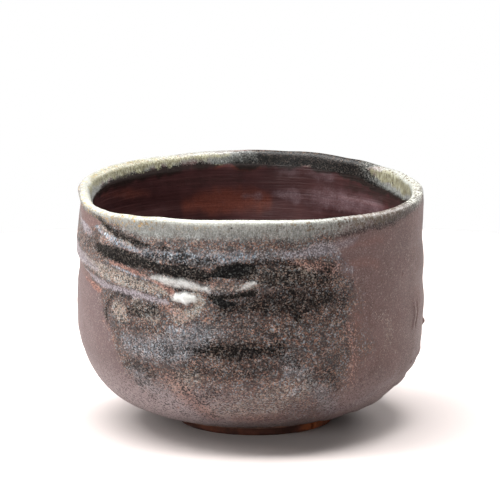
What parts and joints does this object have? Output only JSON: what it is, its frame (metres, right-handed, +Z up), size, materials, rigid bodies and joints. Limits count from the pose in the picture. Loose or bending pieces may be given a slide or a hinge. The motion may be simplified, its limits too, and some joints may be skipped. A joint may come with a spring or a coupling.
{
  "type": "matcha bowl",
  "caption": "Half-cylinder stoneware tea bowl on a low foot ring, with a dark ash-mottled outer glaze, a pale rim and a red-brown inside.",
  "frame": {"origin": "on the table, under the axis of the wall; the foot ring's centre is 2 mm along +X from it", "axes": "+Z up, out of the mouth; -Y is the decorated front, with the white ash runs; +X is to the right of someone who faces the front"},
  "size_m": [0.1207, 0.1205, 0.082],
  "materials": {
    "clay": "bare fired stoneware, matte",
    "foot_clay": "bare iron-rich clay with an orange flash, dry",
    "outer_glaze": "mauve-brown satin glaze mottled with dark and pale ash",
    "inner_glaze": "dark red-brown glaze with a soft sheen",
    "rim_glaze": "pale grey-green ash glaze, glossy on the lip",
    "ash_run": "thick white ash glaze, glossy",
    "iron_pool": "black iron glaze, glossy",
    "stone_grit": "glazed-over stone, rough"
  },
  "bodies": {
    "root": {"clay_body": "clay", "foot_ring": "foot_clay", "outer_glaze": "outer_glaze", "inner_glaze": "inner_glaze", "rim_glaze": "rim_glaze", "ash_runs": "ash_run", "iron_pools": "iron_pool", "stone_grits": "stone_grit"}
  },
  "joints": []
}
